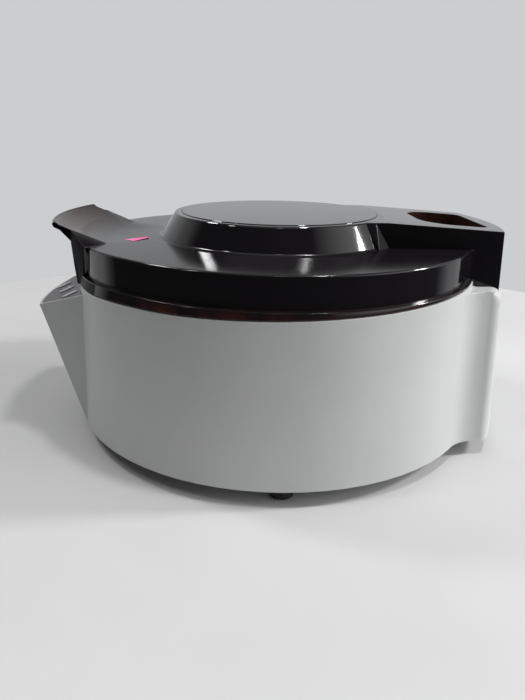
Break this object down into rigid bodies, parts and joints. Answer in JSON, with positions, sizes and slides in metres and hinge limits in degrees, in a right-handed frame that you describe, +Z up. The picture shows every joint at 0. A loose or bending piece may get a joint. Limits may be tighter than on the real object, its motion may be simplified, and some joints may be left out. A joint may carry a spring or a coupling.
{
  "type": "benchtop centrifuge",
  "caption": "Benchtop laboratory centrifuge: drum housing with sloped control panel, smoked hinged lid with dome and grip lip, and a swing-out rotor with tube holders.",
  "frame": {"origin": "middle of the overall footprint on the bench, z = 0 at the bottom of the feet", "axes": "+Z up, -Y towards the control panel and the grip lip, +Y towards the hinge and the power inlet, +X to the right of someone facing the panel"},
  "size_m": [0.3492, 0.3976, 0.1802],
  "materials": {
    "housing": "light grey moulded plastic, satin",
    "smoked": "smoked translucent plastic, glossy",
    "panel": "dark grey overlay, satin",
    "button": "pale grey keys, satin",
    "rubber": "black rubber",
    "steel": "zinc-plated sheet steel",
    "bowl": "spun stainless steel",
    "aluminium": "anodised aluminium",
    "motor": "dark motor casing",
    "board": "circuit board",
    "black": "black moulded plastic"
  },
  "bodies": {
    "base": {"housing_shell": "housing", "base_plate": "steel", "foot_1": "rubber", "foot_2": "rubber", "foot_3": "rubber", "foot_4": "rubber", "chamber_bowl": "bowl", "guard_ring": "steel", "bowl_gasket": "rubber", "motor_body": "motor", "motor_plate": "steel", "motor_damper_1": "rubber", "motor_damper_2": "rubber", "motor_damper_3": "rubber", "control_panel": "panel", "control_board": "board", "power_board": "board", "power_inlet": "black", "switch_frame": "black", "latch_frame": "steel", "latch_solenoid": "motor", "hinge_bracket_left": "steel", "hinge_bracket_right": "steel", "hinge_pin": "steel", "hinge_spring_left": "steel", "hinge_spring_right": "steel"},
    "lid": {"lid_shell": "smoked", "dome_disc": "smoked", "lid_liner": "smoked", "lid_hinge_arm": "steel", "latch_strike": "steel"},
    "rotor": {"motor_shaft": "steel", "rotor_spider": "aluminium", "rotor_knob": "black"},
    "holder_1": {"tube_holder_1": "aluminium", "holder_cushion_1": "rubber"},
    "holder_2": {"tube_holder_2": "aluminium", "holder_cushion_2": "rubber"},
    "holder_3": {"tube_holder_3": "aluminium", "holder_cushion_3": "rubber"},
    "holder_4": {"tube_holder_4": "aluminium", "holder_cushion_4": "rubber"},
    "holder_5": {"tube_holder_5": "aluminium", "holder_cushion_5": "rubber"},
    "holder_6": {"tube_holder_6": "aluminium", "holder_cushion_6": "rubber"},
    "button_1": {"panel_button_1": "button"},
    "button_2": {"panel_button_2": "button"},
    "button_3": {"panel_button_3": "button"},
    "bolt": {"latch_bolt": "steel"},
    "rocker": {"power_rocker": "black"}
  },
  "joints": [
    {"name": "lid_hinge", "type": "hinge", "parent": "base", "child": "lid", "pos_m": [0, 0.17725, 0.1375], "axis": [-1, 0, 0], "range_deg": [0, 75]},
    {"name": "rotor_spin", "type": "hinge", "parent": "base", "child": "rotor", "pos_m": [0, 0.00425, 0.11], "axis": [0, 0, 1], "continuous": true},
    {"name": "holder_swing_1", "type": "hinge", "parent": "rotor", "child": "holder_1", "pos_m": [0.058, 0.00425, 0.113], "axis": [0, -1, 0], "range_deg": [0, 90]},
    {"name": "holder_swing_2", "type": "hinge", "parent": "rotor", "child": "holder_2", "pos_m": [0.029, 0.05448, 0.113], "axis": [0.866, -0.5, 0], "range_deg": [0, 90]},
    {"name": "holder_swing_3", "type": "hinge", "parent": "rotor", "child": "holder_3", "pos_m": [-0.029, 0.05448, 0.113], "axis": [0.866, 0.5, 0], "range_deg": [0, 90]},
    {"name": "holder_swing_4", "type": "hinge", "parent": "rotor", "child": "holder_4", "pos_m": [-0.058, 0.00425, 0.113], "axis": [0, 1, 0], "range_deg": [0, 90]},
    {"name": "holder_swing_5", "type": "hinge", "parent": "rotor", "child": "holder_5", "pos_m": [-0.029, -0.04598, 0.113], "axis": [-0.866, 0.5, 0], "range_deg": [0, 90]},
    {"name": "holder_swing_6", "type": "hinge", "parent": "rotor", "child": "holder_6", "pos_m": [0.029, -0.04598, 0.113], "axis": [-0.866, -0.5, 0], "range_deg": [0, 90]},
    {"name": "button_press_1", "type": "slide", "parent": "base", "child": "button_1", "axis": [0, 0.3048, -0.9524], "range_m": [0, 0.001], "stiffness_N_per_m": 600, "springref_m": -0.0005},
    {"name": "button_press_2", "type": "slide", "parent": "base", "child": "button_2", "axis": [0, 0.3048, -0.9524], "range_m": [0, 0.001], "stiffness_N_per_m": 600, "springref_m": -0.0005},
    {"name": "button_press_3", "type": "slide", "parent": "base", "child": "button_3", "axis": [0, 0.3048, -0.9524], "range_m": [0, 0.001], "stiffness_N_per_m": 600, "springref_m": -0.0005},
    {"name": "latch_bolt_throw", "type": "slide", "parent": "base", "child": "bolt", "axis": [0, 1, 0], "range_m": [0, 0.005], "stiffness_N_per_m": 150, "springref_m": -0.003},
    {"name": "power_rocker_tilt", "type": "hinge", "parent": "base", "child": "rocker", "pos_m": [0.028, 0.18555, 0.05], "axis": [-1, 0, 0], "range_deg": [0, 18]}
  ]
}
